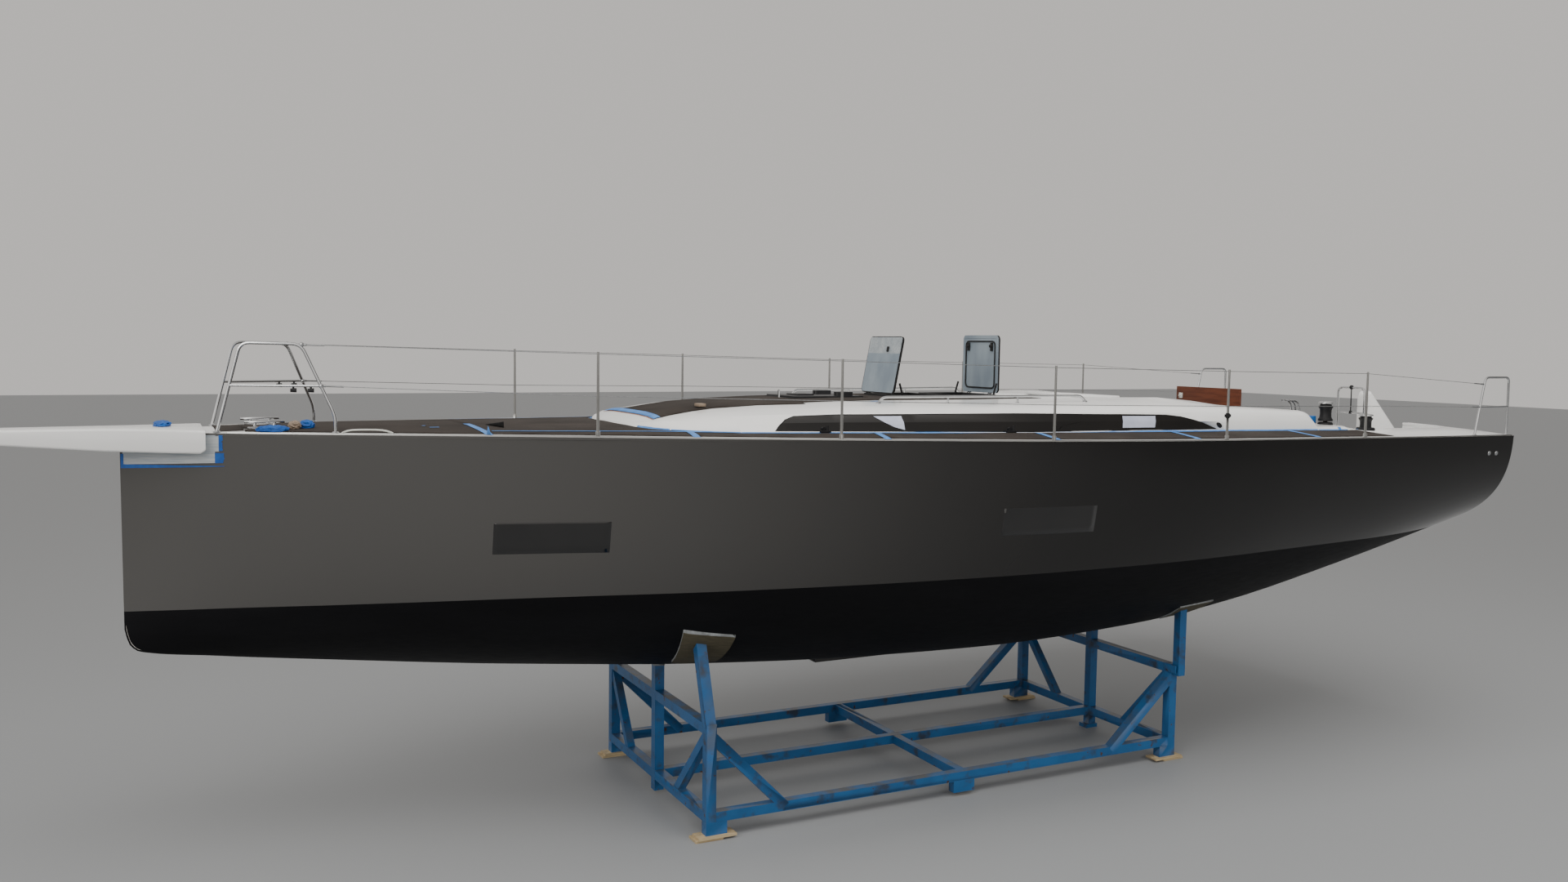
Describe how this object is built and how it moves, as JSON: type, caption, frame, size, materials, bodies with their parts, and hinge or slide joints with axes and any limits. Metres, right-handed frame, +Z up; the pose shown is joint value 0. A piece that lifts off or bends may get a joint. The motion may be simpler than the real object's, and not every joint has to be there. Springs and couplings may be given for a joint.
{
  "type": "cruising sailing yacht on a steel cradle",
  "caption": "Cruising sailing yacht ashore on a blue steel cradle: grey hull with black bottom, white coachroof, open roof hatches, bowsprit and rails, no mast or keel.",
  "frame": {"origin": "on the floor under the middle of the bounding box", "axes": "+X towards the bow, +Y to port, +Z up"},
  "size_m": [14.4685, 4.34, 4.274],
  "materials": {
    "hull": "gloss grey topsides over a black bottom",
    "hull_glass": "dark tinted",
    "deck": "white gelcoat",
    "roof_glass": "dark tinted",
    "cover": "dull brown-grey sheet",
    "black_fitting": "satin black",
    "acrylic": "filmed acrylic",
    "alloy": "satin",
    "stainless": "polished",
    "board": "reddish brown board",
    "joinery": "plywood",
    "engine": "painted",
    "cradle": "blue paint",
    "carpet": "worn carpet facing"
  },
  "bodies": {
    "yacht": {"hull": "hull", "hull_window_port_fwd": "hull_glass", "hull_window_stbd_fwd": "hull_glass", "hull_window_port_aft": "hull_glass", "hull_window_stbd_aft": "hull_glass", "deck_moulding": "deck", "roof_window_port": "roof_glass", "roof_window_stbd": "roof_glass", "deck_cover": "cover", "roof_cover": "cover", "mast_base": "black_fitting", "hatch_rim_fore": "black_fitting", "hatch_rim_aft": "black_fitting", "toe_rail_port": "alloy", "toe_rail_stbd": "alloy", "pulpit_port": "stainless", "pulpit_stbd": "stainless", "pushpit_port": "stainless", "pushpit_stbd": "stainless", "handrail_port": "stainless", "handrail_stbd": "stainless", "bow_cleat_port": "stainless", "bow_cleat_stbd": "stainless", "bowsprit": "deck", "helm_pedestal": "deck", "helm_guard": "stainless", "winch_base_fore": "black_fitting", "winch_base_aft": "black_fitting", "cockpit_board": "board", "cabin_sole": "joinery", "bulkhead_fore": "joinery", "companionway_steps": "joinery", "engine_block": "engine", "cradle_frame": "cradle", "pad_front_port": "carpet", "pad_front_stbd": "carpet", "pad_front_keel": "carpet", "pad_rear_port": "carpet", "pad_rear_stbd": "carpet", "pad_rear_keel": "carpet"},
    "hatch_fore": {"hatch_lid_fore": "acrylic"},
    "hatch_aft": {"hatch_lid_aft": "acrylic"},
    "companionway_slide": {"companionway_hatch": "deck"},
    "drum_fore": {"winch_drum_fore": "black_fitting"},
    "drum_aft": {"winch_drum_aft": "black_fitting"},
    "platform": {"transom_platform": "hull"}
  },
  "joints": [
    {"name": "hatch_fore_hinge", "type": "hinge", "parent": "yacht", "child": "hatch_fore", "pos_m": [-0.498, 0, 3.691], "axis": [0, 1, 0], "range_deg": [-79, 11]},
    {"name": "hatch_aft_hinge", "type": "hinge", "parent": "yacht", "child": "hatch_aft", "pos_m": [-1.714, 0, 3.691], "axis": [0, 1, 0], "range_deg": [0, 90]},
    {"name": "companionway_hatch_slide", "type": "slide", "parent": "yacht", "child": "companionway_slide", "axis": [0.9994, 0, 0.034], "range_m": [0, 0.56]},
    {"name": "winch_fore_drum", "type": "hinge", "parent": "yacht", "child": "drum_fore", "pos_m": [-5.224, 1.318, 3.505], "axis": [0, 0, 1], "continuous": true},
    {"name": "winch_aft_drum", "type": "hinge", "parent": "yacht", "child": "drum_aft", "pos_m": [-5.621, 1.5, 3.423], "axis": [0, 0, 1], "continuous": true},
    {"name": "transom_platform_hinge", "type": "hinge", "parent": "yacht", "child": "platform", "pos_m": [-7.227, 0, 2.343], "axis": [0, 1, 0], "range_deg": [-88, 0]}
  ]
}
